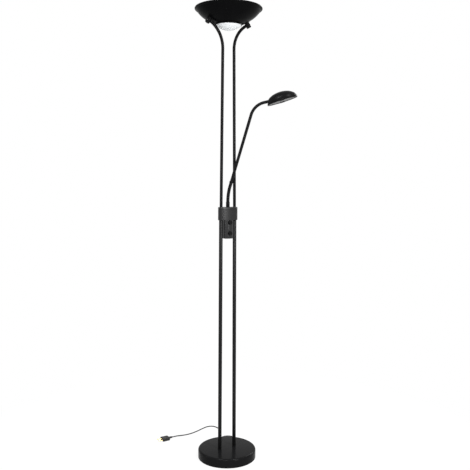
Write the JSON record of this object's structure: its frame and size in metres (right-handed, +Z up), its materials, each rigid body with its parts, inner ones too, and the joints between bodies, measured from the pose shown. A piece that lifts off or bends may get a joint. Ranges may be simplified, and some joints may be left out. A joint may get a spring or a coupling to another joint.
{
  "type": "torchiere floor lamp with reading light",
  "caption": "Floor lamp with twin poles on a round base, an uplighter bowl on top, and a reading light on a bent swivel arm with rotary dimmers at the collar.",
  "frame": {"origin": "middle of the round base, in the plane of its underside, where it stands on the floor", "axes": "+Z up along the lamp; the twin poles stand side by side along X; the dimmer knobs face -Y"},
  "size_m": [0.4183, 0.4874, 1.8],
  "materials": {
    "black_metal": "matte black coat on steel",
    "bowl_metal": "matte black outside, the same coat inside",
    "collar_metal": "matte black die casting",
    "housing_plastic": "matte black moulding",
    "knob_plastic": "satin black moulding",
    "cord_plastic": "satin black flexible plastic",
    "head_plastic": "matte grey moulding",
    "bezel_plastic": "matte grey moulding",
    "frosted_glass": "frosted",
    "clear_glass": "clear",
    "lamp_glass": "clear lamp glass over its burner",
    "reflector_metal": "bright",
    "steel": "plain",
    "brass": "plain",
    "plated": "nickel plate",
    "cast_weight": "rough casting",
    "felt": "black felt pad",
    "ceramic": "white ceramic, packed as a plastic",
    "board": "paper laminate board",
    "parts_plastic": "moulded components",
    "wire_plastic": "white sleeve",
    "aluminium_block": "machined"
  },
  "bodies": {
    "stand": {"base_pad": "felt", "base_plate": "steel", "base_weight": "cast_weight", "base_cover": "black_metal", "base_screws": "steel", "lower_pole_left": "black_metal", "lower_pole_right": "black_metal", "pole_studs": "steel", "pole_washers": "steel", "pole_nuts": "steel", "upper_pole_left": "black_metal", "upper_pole_right": "black_metal", "knuckle_left": "black_metal", "knuckle_right": "black_metal", "bowl_shell": "bowl_metal", "nipples": "brass", "bowl_washers": "steel", "bowl_nuts": "steel", "glass_dome": "frosted_glass", "glass_ring": "steel", "lamp_tray": "reflector_metal", "tray_feet": "steel", "lamp_holders": "ceramic", "tube_lamp": "lamp_glass", "guard_glass": "clear_glass", "guard_clips": "steel", "lamp_wires": "wire_plastic", "collar_body": "collar_metal", "collar_cap": "collar_metal", "coupler": "aluminium_block", "pole_set_screws": "steel", "dimmer_housing": "housing_plastic", "dimmer_cover": "housing_plastic", "housing_screws": "steel", "potentiometers": "plated", "dimmer_board": "board", "dimmer_components": "parts_plastic", "strain_relief": "cord_plastic", "supply_lead": "cord_plastic", "cord_lead": "cord_plastic", "cord_coil": "cord_plastic", "cord_tail": "cord_plastic", "cord_tie": "cord_plastic", "plug_body": "cord_plastic", "plug_pins": "plated"},
    "arm_socket": {"arm_ferrule": "collar_metal", "spigot_nut": "steel", "gooseneck": "black_metal"},
    "arm": {"arm_rings": "collar_metal", "arm_tube": "black_metal"},
    "head": {"head_shell": "head_plastic", "head_cap": "head_plastic", "head_bezel": "bezel_plastic", "head_lens": "frosted_glass", "lens_clips": "bezel_plastic", "head_reflector": "reflector_metal", "capsule_holder": "ceramic", "capsule_lamp": "lamp_glass"},
    "knob_upper": {"knob_upper": "knob_plastic"},
    "knob_lower": {"knob_lower": "knob_plastic"}
  },
  "joints": [
    {"name": "arm_swivel", "type": "hinge", "parent": "stand", "child": "arm_socket", "pos_m": [0, 0, 1.028], "axis": [0, 0, 1], "range_deg": [-110, 5]},
    {"name": "neck_bend", "type": "hinge", "parent": "arm_socket", "child": "arm", "pos_m": [0.00179, -0.00126, 1.08106], "axis": [0.5736, 0.8192, 0], "range_deg": [-12, 45], "deforming": ["gooseneck"]},
    {"name": "head_turn", "type": "hinge", "parent": "arm", "child": "head", "pos_m": [0.12862, -0.09006, 1.44105], "axis": [0.8013, -0.561, 0.2079], "range_deg": [-90, 90]},
    {"name": "knob_upper_turn", "type": "hinge", "parent": "stand", "child": "knob_upper", "pos_m": [0, -0.02, 0.967], "axis": [0, 1, 0], "range_deg": [0, 270]},
    {"name": "knob_lower_turn", "type": "hinge", "parent": "stand", "child": "knob_lower", "pos_m": [0, -0.02, 0.924], "axis": [0, 1, 0], "range_deg": [0, 270]}
  ]
}
